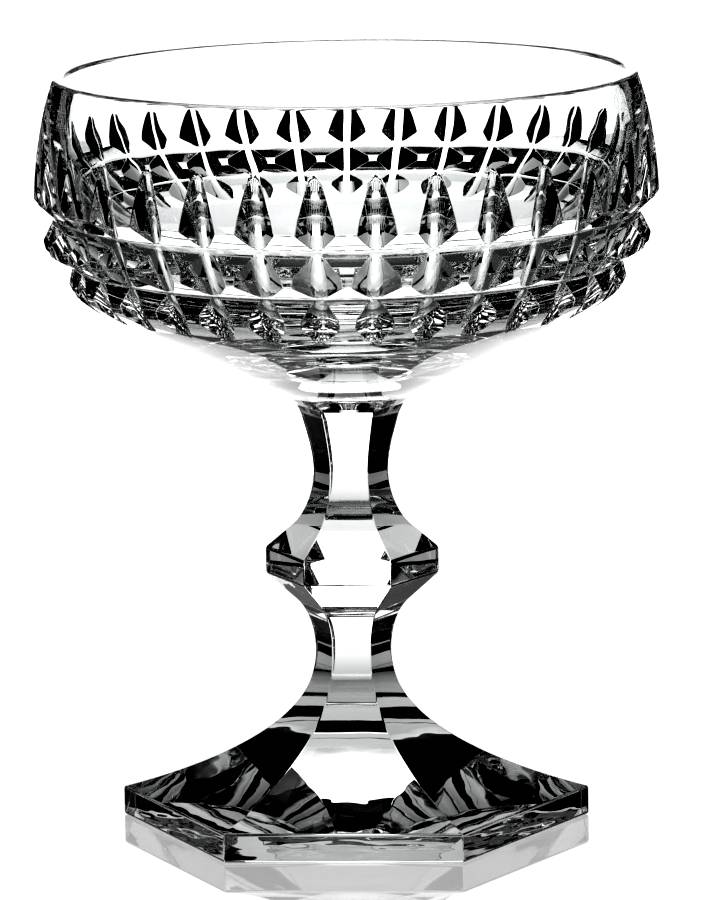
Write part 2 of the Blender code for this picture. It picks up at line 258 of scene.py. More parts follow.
class StageSizes(bpy.types.PropertyGroup):
    """Camera, light and table"""

    camera_distance: length("Camera distance", "From the glass's axis, along the table", 944.9 * MM)
    camera_height: length("Camera height", "Over the table", 230.6 * MM)
    camera_turn: angle("Camera turn", "From the front round to the camera", 3.69)
    camera_pitch: angle("Camera pitch", "How far the camera looks down", 10.267)
    camera_roll: angle("Camera roll", "How far the camera leans", -0.89)
    focal_length: FloatProperty(
        name="Focal length", description="With a picture 36 mm high", default=241.5, subtype="DISTANCE_CAMERA"
    )
    panel_distance: length("Panel distance", "From the glass back to the light panel", 6.0)
    panel_reach: angle("Panel reach", "How far to each side the panel is seen from the glass", 13)
    panel_shoulder: angle("Panel shoulder", "How far up the panel starts to draw in", 14)
    panel_top: angle("Panel top", "How far up the panel is seen from the glass", 30)
    panel_top_reach: angle("Panel top reach", "How far to each side its top is seen", 6)
    panel_bottom: angle("Panel bottom", "How far down the panel is seen from the glass", 30)
    panel_light: number("Panel light", "Brightness of the panel", 1.15)
    strip_start: length("Strip start", "From the axis back to the strip that the glass mirrors", 74.0 * MM)
    strip_bend: length("Strip bend", "From the axis back to where the strip starts to widen", 75.0 * MM)
    strip_shoulder: length("Strip shoulder", "From the axis back to where the strip is wide", 115.0 * MM)
    strip_near_width: length("Strip near width", "Of the strip's near part", 100.0 * MM)
    strip_wide_width: length("Strip wide width", "Of the strip at its shoulder", 150.0 * MM)
    strip_far_width: length("Strip far width", "Of the strip's far end", 260.0 * MM)
    strip_light: number("Strip light", "Brightness of the strip", 1.3)
    # The pool of light on the table is painted, and its dim front, under the foot, is painted shadow of the
    # foot
    pool_start: length("Pool start", "From the axis forwards to where the pool of light starts", 14.0 * MM)
    pool_fade: length("Pool fade", "How far back from there the pool takes to grow bright", 66.0 * MM)
    pool_width: length("Pool width", "From the pool's middle out to its dim sides, at the axis", 25.0 * MM)
    pool_spread: number("Pool spread", "How fast the pool widens to the back", 0.58)
    pool_light: number("Pool light", "How much brighter the pool's far end is than its base", 0.68)
    pool_base: number("Pool base", "Brightness all round the pool", 0.09)
    pool_front: length("Pool front", "From the axis forwards to the end of the pool's sheet", 100.0 * MM)
    pool_reach: length("Pool reach", "From the pool's middle out to the sides of its sheet", 170.0 * MM)
    pool_end: length("Pool end", "From the axis back to the far end of the pool and the strip", 280.0 * MM)
    flag_start: length("Flag start", "From the axis back to the two black flags", 40.0 * MM)
    flag_near_gap: length("Flag near gap", "Between the near ends of the two black flags", 106.0 * MM)
    flag_far_gap: length("Flag far gap", "Between the far ends of the flags", 220.0 * MM)
    flag_height: length("Flag height", "How high the flags stand on the table", 15.0 * MM)
    table_radius: length("Table radius", "Of the round table", 0.3)
    table_light: number("Table light", "Brightness of the table", 0.475)
    table_gap: length("Table gap", "How far under the foot the table lies", 0.05 * MM)
    room_light: number("Room light", "Brightness of the dark room", 0.002)
    floor_light: number("Floor light", "Brightness of the room's floor", 0.12)
    floor_start: angle("Floor start", "How far down from level the floor starts to show", 28)
    floor_full: angle("Floor full", "How far down from level the floor is all that shows", 60)
    overhead_start: angle("Overhead start", "How far up from level the light overhead starts", 64)
    overhead_full: angle("Overhead full", "How far up from level the light overhead is even", 69)
    overhead_light: number("Overhead light", "Brightness of the light overhead", 0.85)
    black_level: number("Black level", "What the picture shows as black", 0.05)


def along(points, directions):
    """Stations of a profile: radius, height, and the direction in which the profile runs there."""
    directions = np.asarray(directions, float)
    directions = directions / np.linalg.norm(directions, axis=1, keepdims=True)
    return np.hstack([np.asarray(points, float), directions])


def straight(start, end, count=2):
    """A straight run from one point to another."""
    start, end = np.array(start), np.array(end)
    shares = np.linspace(0.0, 1.0, count)[:, None]
    return along(start + shares * (end - start), np.repeat([end - start], count, axis=0))


def curve(start, leaving, arriving, end, count):
    """A cubic curve, with the handles that it leaves and arrives by."""
    start, end = np.array(start), np.array(end)
    handle, last = start + leaving, end - arriving
    t = np.linspace(0.0, 1.0, count)[:, None]
    u = 1 - t
    points = u**3 * start + 3 * u**2 * t * handle + 3 * u * t**2 * last + t**3 * end
    directions = u**2 * (handle - start) + 2 * u * t * (last - handle) + t**2 * (end - last)
    return along(points, directions)


def arc(centre, radius, start, end, count):
    """A part of a circle, from one angle to another."""
    angles = np.linspace(start, end, count)
    outward = np.column_stack([np.cos(angles), np.sin(angles)])
    forward = np.column_stack([-np.sin(angles), np.cos(angles)]) * np.sign(end - start)
    return along(np.array(centre) + radius * outward, forward)


def down(turn, pull=1.0):
    """A handle that leaves straight down by this angle, outwards where it is positive."""
    return pull * np.array([math.sin(turn), -math.cos(turn)])


def even_curve(start, start_turn, end, end_turn, count):
    """A cubic curve with handles a third as long as the way, which leave straight down by these angles."""
    pull = math.dist(start, end) / 3
    return curve(start, down(start_turn, pull), down(end_turn, pull), end, count)


def trimmed(run, lead, tail):
    """A run of stations, shortened at both ends."""
    steps = np.linalg.norm(np.diff(run[:, :2], axis=0), axis=1)
    travel = np.concatenate([[0.0], np.cumsum(steps)])
    first, last = lead, travel[-1] - tail
    margin = ROW_MARGIN * np.mean(steps)
    inner = travel[(travel > first + margin) & (travel < last - margin)]
    places = np.concatenate([[first], inner, [last]])
    cut = np.column_stack([np.interp(places, travel, column) for column in run.T])
    return along(cut[:, :2], cut[:, 2:])


def corner(before, point, after):
    """The stations of a rounded corner, between the two where the rounding starts and ends."""
    t = np.linspace(0.0, 1.0, ROUNDING_ROWS + 2)[1:-1, None]
    start, end = before[:2], after[:2]
    points = (1 - t) ** 2 * start + 2 * (1 - t) * t * point + t**2 * end
    return along(points, (1 - t) * (point - start) + t * (end - point))


def rounded(runs, roundings):
    """One profile from several runs, with the corner between each two rounded off over this length."""
    leads, tails = [0.0, *roundings], [*roundings, 0.0]
    cut = [trimmed(*each) for each in zip(runs, leads, tails)]
    profile = [cut[0]]
    for run, before, after in zip(runs, cut, cut[1:]):
        profile += [corner(before[-1], run[-1, :2], after[0]), after]
    return np.vstack(profile)


def arc_centre(top, bottom, radius):
    """The centre of the arc that bulges outwards from one point of the profile plane down to another."""
    half = (np.array(bottom) - top) / 2
    inwards = np.array([half[1], -half[0]]) / math.hypot(*half)
    return top + half + inwards * math.sqrt(radius**2 - half @ half)


def hexagon(profile, fillet):
    """Rings of a six-sided piece with rounded corners, and the directions that they face."""
    spread = np.linspace(-HALF_SIDE, HALF_SIDE, CORNER_COLUMNS)
    inset = profile[:, :1] - fillet / math.cos(HALF_SIDE)
    shares = np.linspace(0.0, 1.0, FLAT_COLUMNS + 2)[1:-1]
    sides = []
    for index in range(SIDES):
        middle = 2 * HALF_SIDE * index
        turn = middle + spread
        x = inset * math.cos(middle) + fillet * np.cos(turn)
        y = inset * math.sin(middle) + fillet * np.sin(turn)
        turns, leans = (np.tile(row, (len(profile), 1)) for row in (turn, np.cos(spread)))
        sides.append(np.stack([x, y, turns, leans], axis=-1))
    columns = []
    for index, side in enumerate(sides):
        start, end = side[:, -1:], sides[(index + 1) % SIDES][:, :1]
        flat = np.repeat(start, FLAT_COLUMNS, axis=1)
        flat[..., :2] += shares[None, :, None] * (end - start)[..., :2]
        columns += [side, flat]
    ring = np.concatenate(columns, axis=1)
    heights = np.broadcast_to(profile[:, 1:2], ring.shape[:2])
    points = np.stack([ring[..., 0], ring[..., 1], heights], axis=-1)
    turn, lean = ring[..., 2], ring[..., 3]
    run, rise = profile[:, 2:3], profile[:, 3:4]
    facing = np.stack([-rise * np.cos(turn), -rise * np.sin(turn), run * lean], axis=-1)
    return points, facing


def cap(ring, up, inwards):
    """Rings and directions of a flat face that closes a ring, from its middle out or from it inwards."""
    middle = np.broadcast_to([0.0, 0.0, ring[0, 2]], ring.shape)
    rings = [ring, middle] if inwards else [middle, ring]
    return np.stack(rings), np.broadcast_to([0.0, 0.0, up], (2, *ring.shape))


def add_ring(points, places):
    """Adds a ring of points, or the one point that it has shrunk to, and returns their indices."""
    start = len(points)
    if np.ptp(places, axis=0).max() < MICRON:
        points.append(places[0])
        return [start] * len(places)
    points.extend(places)
    return list(range(start, start + len(places)))


def skin(name, bands):
    """A closed mesh from bands of rings, each band starting on the ring where the one before it ends."""
    points, faces, normals, slots = [], [], [], []
    ring = None
    for rings, facings, slot in bands:
        for index, places in enumerate(rings):
            if ring is not None and index == 0:
                continue
            before, ring = ring, add_ring(points, places)
            if index == 0:
                continue
            for column in range(len(ring)):
                following = (column + 1) % len(ring)
                corners = {
                    before[column]: facings[index - 1][column],
                    ring[column]: facings[index][column],
                    ring[following]: facings[index][following],
                    before[following]: facings[index - 1][following],
                }
                faces.append(tuple(corners))
                normals.extend(corners.values())
                slots.append(slot)
    mesh = bpy.data.meshes.new(name)
    mesh.from_pydata(points, [], faces, shade_flat=False)
    mesh.polygons.foreach_set("material_index", slots)
    normals = np.array(normals)
    mesh.normals_split_custom_set(normals / np.linalg.norm(normals, axis=1, keepdims=True))
    return mesh


def six_sided(name, profile, fillet, base_material):
    """A closed six-sided mesh, which is joined to what stands on it."""
    rings, facing = hexagon(profile, fillet)
    top = (*cap(rings[0], up=1.0, inwards=False), JOINT)
    base = (*cap(rings[-1], up=-1.0, inwards=True), base_material)
    return skin(name, [top, (rings, facing, CRYSTAL), base])


def foot_profile(foot, stem):
    """The foot's side, from the joint with the stem down to its underside."""
    edge = (foot.corner_radius, foot.edge_height)
    base = (foot.corner_radius, FOOT_LOW.z)
    leaving = down(stem.joint_flare, foot.joint_pull)
    arriving = down(foot.edge_flare, foot.edge_pull)
    top = curve((stem.joint_radius, FOOT_HIGH.z), leaving, arriving, edge, FOOT_TOP_ROWS)
    side = straight(edge, base, STRAIGHT_ROWS)
    underside = straight(base, (stem.joint_radius, FOOT_LOW.z), STRAIGHT_ROWS)
    return rounded([top, side, underside], [foot.edge_rounding, foot.base_rounding])


def stem_profile(stem):
    """The stem's side, from the joint with the bowl down to the joint with the foot."""
    lower_neck_level = STEM_LOW.z + stem.lower_flare_height
    knop_under_level = lower_neck_level + stem.lower_neck_height
    knop_base = knop_under_level + stem.knop_under_height
    knop_crest = knop_base + stem.knop_band_height
    knop_top_level = knop_crest + stem.knop_top_height
    upper_neck_level = knop_top_level + stem.upper_neck_height

    joint = (stem.collar_radius, STEM_HIGH.z)
    head = (stem.head_radius, upper_neck_level + stem.taper_height)
    upper_neck = (stem.upper_neck_radius, upper_neck_level)
    knop_top = (stem.knop_top_radius, knop_top_level)
    upper_edge = (stem.knop_radius, knop_crest)
    lower_edge = (stem.knop_radius, knop_base)
    knop_under = (stem.knop_under_radius, knop_under_level)
    lower_neck = (stem.lower_neck_radius, lower_neck_level)
    foot_joint = (stem.joint_radius, STEM_LOW.z)

    upper_side = even_curve(head, -stem.taper, upper_neck, 0.0, NECK_ROWS)
    shoulder = even_curve(upper_neck, 0.0, knop_top, stem.neck_flare, NECK_ROWS)
    waist = even_curve(knop_under, -stem.neck_flare, lower_neck, 0.0, NECK_ROWS)
    flare = even_curve(lower_neck, 0.0, foot_joint, stem.joint_flare, FLARE_ROWS)
    runs = [
        straight(joint, head, STRAIGHT_ROWS),
        np.vstack([upper_side[:-1], shoulder]),
        straight(knop_top, upper_edge, KNOP_ROWS),
        straight(upper_edge, lower_edge, KNOP_ROWS),
        straight(lower_edge, knop_under, KNOP_ROWS),
        np.vstack([waist[:-1], flare]),
    ]
    edge, bend = stem.edge_rounding, stem.bend_rounding
    return rounded(runs, [bend, bend, edge, edge, bend])


def bowl_levels(bowl):
    """Heights of the bowl's tiers, from the joint with the stem up to the widest line."""
    steps = {
        "low_base": bowl.underside_height,
        "low_crest": bowl.low_flat_height,
        "low_ledge": bowl.low_slope_height,
        "middle_foot": bowl.low_ledge_height,
        "middle_base": bowl.middle_chamfer_height,
        "middle_crest": bowl.middle_flat_height,
        "high_ledge": bowl.middle_slope_height,
        "wall_foot": bowl.high_ledge_height,
        "widest": bowl.high_chamfer_height,
    }
    return dict(zip(steps, BOWL_LOW.z + np.cumsum(list(steps.values()))))


def bowl_inside(bowl, level):
    """The plain inside, from the middle of the floor up to the plane of the rim."""
    lip = (bowl.radius - bowl.rim_draw_in - bowl.rim_thickness, BOWL_HIGH.z - bowl.rim_thickness / 2)
    belly = (bowl.radius - bowl.belly_wall, level["widest"])
    centre = arc_centre(lip, belly, bowl.inside_radius)
    ends = (level["low_ledge"], BOWL_HIGH.z)
    bottom, top = (math.asin((height - centre[1]) / bowl.inside_radius) for height in ends)
    wall = arc(centre, bowl.inside_radius, bottom, top, INNER_WALL_ROWS)
    middle = (0.0, BOWL_LOW.z + bowl.floor_thickness)
    leaving = np.array([bowl.floor_pull, 0.0])
    arriving = bowl.side_pull * wall[0, 2:]
    floor = curve(middle, leaving, arriving, wall[0, :2], FLOOR_ROWS)
    return np.vstack([floor[:-1], wall])


def wall_bend(bowl, level):
    """How high the outer wall rises over the widest line, and the radius of the arc that it follows."""
    rise = BOWL_HIGH.z - level["widest"]
    return rise, (rise**2 + bowl.rim_draw_in**2) / (2 * bowl.rim_draw_in)


def bowl_outside(bowl, cuts, level):
    """The stepped outside, from the plane of the rim down to the joint, and its corners' roundings."""
    rise, bend = wall_bend(bowl, level)
    centre = (bowl.radius - bend, level["widest"])
    brow = math.asin((cuts.rise + BROW_MARGIN) / bend)
    plain = arc(centre, bend, math.asin(rise / bend), brow, PLAIN_WALL_ROWS)
    wall = arc(centre, bend, brow, 0.0, CUT_WALL_ROWS)
    high_ledge_radius = bowl.radius - bowl.high_ledge_draw_in
    middle_radius = bowl.radius - bowl.middle_draw_in
    low_ledge_radius = bowl.radius - bowl.low_ledge_draw_in
    low_radius = bowl.radius - bowl.low_draw_in
    corners = [
        (bowl.radius, level["widest"]),
        (high_ledge_radius, level["wall_foot"]),
        (high_ledge_radius, level["high_ledge"]),
        (middle_radius, level["middle_crest"]),
        (middle_radius - bowl.middle_lean, level["middle_base"]),
        (low_ledge_radius, level["middle_foot"]),
        (low_ledge_radius, level["low_ledge"]),
        (low_radius, level["low_crest"]),
        (low_radius - bowl.low_lean, level["low_base"]),
    ]
    tiers = [straight(*each) for each in zip(corners, corners[1:], TIER_ROWS)]
    joint = np.array([bowl.joint_radius, BOWL_LOW.z])
    collar = joint + [bowl.collar_width, bowl.collar_rise]
    base = corners[-1]
    slope = bowl.underside_slope
    bend_radius = base[0] - bowl.underside_turn
    bend_point = (bend_radius, collar[1] + (bend_radius - collar[0]) * math.tan(slope))
    turn = even_curve(base, -bowl.low_undercut, bend_point, slope - math.pi / 2, UNDERSIDE_TURN_ROWS)
    underside = np.vstack([turn[:-1], straight(bend_point, collar, UNDERSIDE_ROWS)])
    ledge = bowl.low_ledge_height / LEDGE_ROUNDINGS
    soft = bowl.edge_rounding
    roundings = [soft, soft, soft, soft, soft, ledge, ledge, soft, soft, soft]
    runs = [np.vstack([plain[:-1], wall]), *tiers, underside, straight(collar, joint, STRAIGHT_ROWS)]
    return runs, roundings


class MitreCut:
    """The surface of one cut: a rounded root with sloping sides, straight across each of the three tiers."""

    def __init__(self, bowl, cuts, level):
        _, bend = wall_bend(bowl, level)
        head = (bowl.radius - bend + math.sqrt(bend**2 - cuts.rise**2), level["widest"] + cuts.rise)
        high = (bowl.radius - bowl.high_ledge_draw_in, (level["high_ledge"] + level["wall_foot"]) / 2)
        low = (bowl.radius - bowl.low_ledge_draw_in, (level["low_ledge"] + level["middle_foot"]) / 2)
        drop = down(-cuts.low_slope, cuts.rise)
        roots = np.array([head, high, low, low + drop])
        # Each tier's root is a straight line of the profile plane, kept by its outward direction and offset
        runs = np.diff(roots, axis=0)
        self.out = np.column_stack([-runs[:, 1], runs[:, 0]]) / np.linalg.norm(runs, axis=1)[:, None]
        self.offset = np.sum(self.out * roots[:-1], axis=1)
        self.breaks = roots[1:3, 1]
        self.half_root = cuts.root_width / 2
        self.rounding = cuts.root_rounding
        self.rise_per_width = 1 / math.tan(cuts.wall_angle)

    def radius(self, turn, height):
        """How far from the axis the cut's surface lies, at an angle from its middle and at a height."""
        tier = np.sum(np.expand_dims(height, -1) < self.breaks, axis=-1)
        across, up = self.out[tier, 0], self.out[tier, 1]
        level = self.offset[tier] - up * height
        radius = level / across
        # The sides slope up from where the root ends, with the bend between them rounded off
        for _ in range(CUT_ROUNDS):
            side = radius * np.abs(np.sin(turn)) - self.half_root
            softened = np.maximum(self.rounding - np.abs(side), 0.0) ** 2 / (4 * self.rounding)
            depth = (np.maximum(side, 0.0) + softened) * self.rise_per_width
            radius = (level + depth) / (across * np.cos(turn))
        return radius

    def edge(self, radius, height, gap, limit):
        """The angle from the cut's middle at which its surface stands this far outside the turned one."""
        low, high = np.zeros_like(radius), np.full_like(radius, limit)
        for _ in range(EDGE_ROUNDS):
            middle = (low + high) / 2
            outside = self.radius(middle, height) - radius > gap
            low, high = np.where(outside, low, middle), np.where(outside, middle, high)
        return high


def cut_turns(profile, cut, cuts):
    """The columns' angles from the middle of a cut, row by row, so that the mesh follows the cut's edges."""
    half = math.pi / cuts.count
    radius, height = profile[:, 0], profile[:, 1]
    step = COLUMN_GAP / radius
    root, rounding = cut.half_root / radius, cut.rounding / radius
    foot = root + rounding
    inner = np.maximum(cut.edge(radius, height, -cuts.edge_rounding, half), foot + 2 * step)
    edge = np.maximum(cut.edge(radius, height, 0.0, half), inner + step)
    outer = np.maximum(cut.edge(radius, height, cuts.edge_rounding, half), edge + step)
    outer = np.minimum(outer, half - 2 * step)
    edge = np.minimum(edge, outer - step)
    inner = np.minimum(inner, edge - step)
    bottom = [column / ROOT_COLUMNS * foot for column in range(1, ROOT_COLUMNS + 1)]
    ridge = np.full_like(radius, half)
    right = [*bottom, (foot + inner) / 2, inner, edge, outer, (outer + half) / 2, ridge]
    left = [-column for column in reversed(right[:-1])]
    return np.column_stack([*left, np.zeros_like(radius), *right])


def ease(share):
    """A share from 0 to 1 that starts and ends softly."""
    share = np.clip(share, 0.0, 1.0)
    return share * share * (3 - 2 * share)


def cut_rings(profile, is_outside, bowl, cuts, level):
    """The bowl's rings with the cuts taken out of its outer side, and the directions that they face."""
    cut = MitreCut(bowl, cuts, level)
    radius, height, run, rise = (profile[:, index, None] for index in range(4))
    is_outside = is_outside[:, None]
    cut_zone = is_outside & (height < level["widest"] + CUT_ZONE_RISE * cuts.rise)
    cut_zone = cut_zone & (height > level["low_base"] - CUT_ZONE_DROP)
    safe_radius = np.where(cut_zone, radius, bowl.radius)
    safe_height = np.where(cut_zone, height, level["widest"])

    turns = cut_turns(np.hstack([safe_radius, safe_height]), cut, cuts)
    half = math.pi / cuts.count
    even = np.linspace(-half, half, turns.shape[1] + 1)[1:]
    above = ease((height - level["widest"] - EVEN_START_RISE * cuts.rise) / EVEN_RISE)
    below = ease((level["low_base"] - EVEN_START_DROP - height) / EVEN_DROP)
    evenness = np.where(is_outside, np.maximum(above, below), 1.0)
    turns = turns + evenness * (even - turns)

    # Where the cut lies inside the turned surface it shows, and the edge between the two is rounded off
    turn_step = SLOPE_STEP / bowl.radius
    cut_radius = cut.radius(turns, safe_height)
    by_turn = (cut.radius(turns + turn_step, safe_height) - cut_radius) / turn_step
    by_height = (cut.radius(turns, safe_height + SLOPE_STEP) - cut_radius) / SLOPE_STEP
    turned = np.clip(0.5 + (cut_radius - radius) / (2 * cuts.edge_rounding), 0.0, 1.0)
    turned = np.where(cut_zone, turned, 1.0)
    sunk = 1 - turned
    mixed = turned * radius + sunk * cut_radius - cuts.edge_rounding * turned * sunk
    final = np.where(turned < 1.0, mixed, radius)
    slope = turned * run / np.where(cut_zone, rise, 1.0) + sunk * by_height
    outward = np.where(cut_zone, 1.0, -rise)
    sideways = np.where(cut_zone, -sunk * by_turn / final.clip(MICRON), 0.0)
    upward = np.where(cut_zone, -slope, run)

    first = cuts.turn - math.pi / 2 + half
    starts = first + 2 * half * np.arange(cuts.count)
    angles = (starts[None, :, None] + turns[:, None, :]).reshape(len(profile), -1)
    one_cut = (final, outward, sideways, upward)
    all_round = [np.tile(np.broadcast_to(each, turns.shape), (1, cuts.count)) for each in one_cut]
    final, outward, sideways, upward = all_round
    cosine, sine = np.cos(angles), np.sin(angles)
    heights = np.broadcast_to(height, angles.shape)
    points = np.stack([final * cosine, final * sine, heights], axis=-1)
    x = outward * cosine - sideways * sine
    y = outward * sine + sideways * cosine
    return points, np.stack([x, y, upward], axis=-1)


def bowl_base(ring, stem):
    """The flat face under the bowl, from the joint's ring in to the stem's outline, and on to the middle."""
    angles = np.arctan2(ring[:, 1], ring[:, 0])
    off_flat = (angles % (2 * HALF_SIDE)) - HALF_SIDE
    flat = stem.collar_radius * math.cos(HALF_SIDE)
    tip = stem.collar_radius - stem.corner_fillet * (1 / math.cos(HALF_SIDE) - 1)
    outline = np.minimum(flat / np.cos(off_flat), tip)
    inner = np.column_stack([outline * np.cos(angles), outline * np.sin(angles), ring[:, 2]])
    facing = np.broadcast_to([0.0, 0.0, -1.0], (2, *ring.shape))
    return (np.stack([ring, inner]), facing), cap(inner, up=-1.0, inwards=True)


def add_node(owner, kind, inputs=None, **settings):
    """Adds a node with its settings, and sets its inputs or links them to other nodes' outputs."""
    tree = owner.node_tree
    made = tree.nodes.new(kind)
    for name, value in settings.items():
        setattr(made, name, value)
    for name, value in (inputs or {}).items():
        if isinstance(value, bpy.types.NodeSocket):
            tree.links.new(value, made.inputs[name])
        else:
            made.inputs[name].default_value = value
    return made


def new_material(name):
    material = bpy.data.materials.new(name)
    material.use_nodes = True
    material.node_tree.nodes.clear()
    return material


def lead_crystal(piece, finish, ripple):
    """Lead crystal, pressed or cut and then fire polished. It is clear and colourless, so it shows only what
    it bends and mirrors, and the polish leaves faint waves that make edges seen through it wander."""
    material = new_material(f"lead_crystal_{piece}")
    place = add_node(material, "ShaderNodeTexCoord").outputs["Object"]
    waves = {"Vector": place, "Scale": 1 / finish.ripple_length, "Detail": 1.0, "Roughness": 0.4}
    height = add_node(material, "ShaderNodeTexNoise", waves).outputs["Fac"]
    bump = {"Height": height, "Strength": 1.0, "Distance": ripple}
    normal = add_node(material, "ShaderNodeBump", bump).outputs["Normal"]
    glass = {
        "Base Color": finish.colour,
        "Roughness": 0.0,
        "IOR": finish.ior,
        "Transmission Weight": 1.0,
        "Normal": normal,
    }
    shader = add_node(material, "ShaderNodeBsdfPrincipled", glass)
    add_node(material, "ShaderNodeOutputMaterial", {"Surface": shader.outputs["BSDF"]})
    return material


def hot_joint():
    """Crystal joined hot. The two pieces melt together, so no surface is left there to be seen."""
    material = new_material("crystal_hot_joint")
    shader = add_node(material, "ShaderNodeBsdfTransparent")
    add_node(material, "ShaderNodeOutputMaterial", {"Surface": shader.outputs["BSDF"]})
    return material


def lit_panel(name, strength):
    """An opal acrylic diffuser lit from behind, so its front is even and white. Its back isn't seen."""
    material = new_material(f"opal_diffuser_{name}")
    is_back = add_node(material, "ShaderNodeNewGeometry").outputs["Backfacing"]
    light = {"Color": linear("FFFFFF"), "Strength": strength}
    front = add_node(material, "ShaderNodeEmission", light).outputs["Emission"]
    back = add_node(material, "ShaderNodeBsdfTransparent").outputs["BSDF"]
    shader = add_node(material, "ShaderNodeMixShader", {0: is_back, 1: front, 2: back})
    add_node(material, "ShaderNodeOutputMaterial", {"Surface": shader.outputs["Shader"]})
    material.cycles.emission_sampling = "NONE"
    return material


def black_felt():
    """Wool felt dyed black, which gives almost no light back."""
    material = new_material("black_felt")
    shader = add_node(material, "ShaderNodeBsdfDiffuse", {"Color": linear("000000")})
    add_node(material, "ShaderNodeOutputMaterial", {"Surface": shader.outputs["BSDF"]})
    return material


def painted_light_pool(stage):
    """A sheet, like an opal acrylic diffuser, with a painted pool of light on it, which widens to the back
    and fades to its sides and its front. Its dim front, under the foot, is painted shadow of the foot."""
    material = new_material("painted_pool_and_foot_shadow")
    place = add_node(material, "ShaderNodeTexCoord").outputs["Object"]
    across, back, _ = add_node(material, "ShaderNodeSeparateXYZ", {"Vector": place}).outputs

    # To the sides, where the painted pool of light fades: e to the power of minus the square of the offset,
    # in widths
    spread = {0: back, 1: stage.pool_spread, 2: stage.pool_width}
    width = add_node(material, "ShaderNodeMath", spread, operation="MULTIPLY_ADD").outputs[0]
    offset = add_node(material, "ShaderNodeMath", {0: across, 1: width}, operation="DIVIDE").outputs[0]
    square = add_node(material, "ShaderNodeMath", {0: offset, 1: offset}, operation="MULTIPLY").outputs[0]
    side = add_node(material, "ShaderNodeMath", {0: 1 / math.e, 1: square}, operation="POWER").outputs[0]

    # To the back: what is left of 1 after e to the power of minus the distance, in fade lengths. This keeps
    # the front, under the foot, dim as painted shadow of the foot
    fade = {0: back, 1: 1 / stage.pool_fade, 2: stage.pool_start / stage.pool_fade}
    depth = add_node(material, "ShaderNodeMath", fade, operation="MULTIPLY_ADD").outputs[0]
    rest = add_node(material, "ShaderNodeMath", {0: 1 / math.e, 1: depth}, operation="POWER").outputs[0]
    left = {0: 1.0, 1: rest}
    growth = add_node(material, "ShaderNodeMath", left, operation="SUBTRACT", use_clamp=True).outputs[0]

    both = add_node(material, "ShaderNodeMath", {0: side, 1: growth}, operation="MULTIPLY").outputs[0]
    lift = {0: both, 1: stage.pool_light, 2: stage.pool_base}
    light = add_node(material, "ShaderNodeMath", lift, operation="MULTIPLY_ADD").outputs[0]
    shader = add_node(material, "ShaderNodeEmission", {"Color": linear("FFFFFF"), "Strength": light})
    add_node(material, "ShaderNodeOutputMaterial", {"Surface": shader.outputs["Emission"]})
    material.cycles.emission_sampling = "NONE"
    return material


def opal_acrylic(strength):
    """An opal acrylic table lit from below. Its polished face mirrors the foot faintly."""
    material = new_material("opal_acrylic")
    sheet = {
        "Base Color": linear("000000"),
        "Specular IOR Level": 0.0,
        "Coat Weight": 1.0,
        "Coat Roughness": 0.02,
        "Coat IOR": 1.6,
        "Emission Color": linear("FFFFFF"),
        "Emission Strength": strength,
    }
    shader = add_node(material, "ShaderNodeBsdfPrincipled", sheet)
    add_node(material, "ShaderNodeOutputMaterial", {"Surface": shader.outputs["BSDF"]})
    material.cycles.emission_sampling = "NONE"
    return material


def set_piece(node, mesh, crystal):
    """Puts a piece in the scene in the place of its packed solid."""
    piece = bpy.data.objects.new(f"crystal_{node}", mesh)
    for material in (crystal, hot_joint()):
        mesh.materials.append(material)
    bpy.context.scene.collection.objects.link(piece)
    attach(piece, "root")
    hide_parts(node)


def make_foot(scene):
    stem, finish = scene.glass_stem, scene.glass_crystal
    profile = foot_profile(scene.glass_foot, stem)
    mesh = six_sided("crystal_foot", profile, stem.corner_fillet, CRYSTAL)
    set_piece("foot", mesh, lead_crystal("foot", finish, finish.stem_ripple))


def make_stem(scene):
    stem, finish = scene.glass_stem, scene.glass_crystal
    mesh = six_sided("crystal_stem", stem_profile(stem), stem.corner_fillet, JOINT)
    set_piece("stem", mesh, lead_crystal("stem", finish, finish.stem_ripple))


def make_bowl(scene):
    bowl, cuts, finish = scene.glass_bowl, scene.glass_cuts, scene.glass_crystal
    level = bowl_levels(bowl)
    inside = bowl_inside(bowl, level)
    outside, roundings = bowl_outside(bowl, cuts, level)
    top = straight(inside[-1, :2], outside[0][0, :2])
    rim = [bowl.rim_rounding, bowl.rim_rounding]
    profile = rounded([inside, top, *outside], [*rim, *roundings])
    # The outside starts after the rim's two highest rows and the rounding of its outer edge
    highest = int(np.argmax(profile[:, 1]))
    is_outside = np.arange(len(profile)) > highest + ROUNDING_ROWS + 1
    rings, facing = cut_rings(profile, is_outside, bowl, cuts, level)
    shelf, joint = bowl_base(rings[-1], scene.glass_stem)
    mesh = skin("crystal_bowl", [(rings, facing, CRYSTAL), (*shelf, CRYSTAL), (*joint, JOINT)])
    set_piece("bowl", mesh, lead_crystal("bowl", finish, finish.bowl_ripple))


def set_camera(scene, stage):
    data = bpy.data.cameras.new("camera")
    data.lens = stage.focal_length
    data.sensor_width = SENSOR_SIZE
    data.clip_end = VIEW_LIMIT
    camera = bpy.data.objects.new("camera", data)
    turn = Matrix.Rotation(stage.camera_turn, 4, "Z")
    place = Matrix.Translation((0.0, -stage.camera_distance, stage.camera_height))
    pitch = Matrix.Rotation(math.pi / 2 - stage.camera_pitch, 4, "X")
    camera.matrix_world = turn @ place @ pitch @ Matrix.Rotation(stage.camera_roll, 4, "Z")
    scene.collection.objects.link(camera)
    scene.camera = camera
    return camera


def flat_piece(scene, name, points, material):
    """A flat piece of the stage with this outline."""
    mesh = bpy.data.meshes.new(name)
    mesh.from_pydata(points, [], [tuple(range(len(points)))])
    mesh.materials.append(material)
    piece = bpy.data.objects.new(name, mesh)
    scene.collection.objects.link(piece)
    return piece


def mirrored(right):
    """A whole outline from the points of its right half."""
    return [*right, *((-across, up) for across, up in reversed(right))]


def level_outline(right, height):
    """A whole outline that lies level at this height and faces up."""
    return [(*point, height) for point in mirrored(right)]


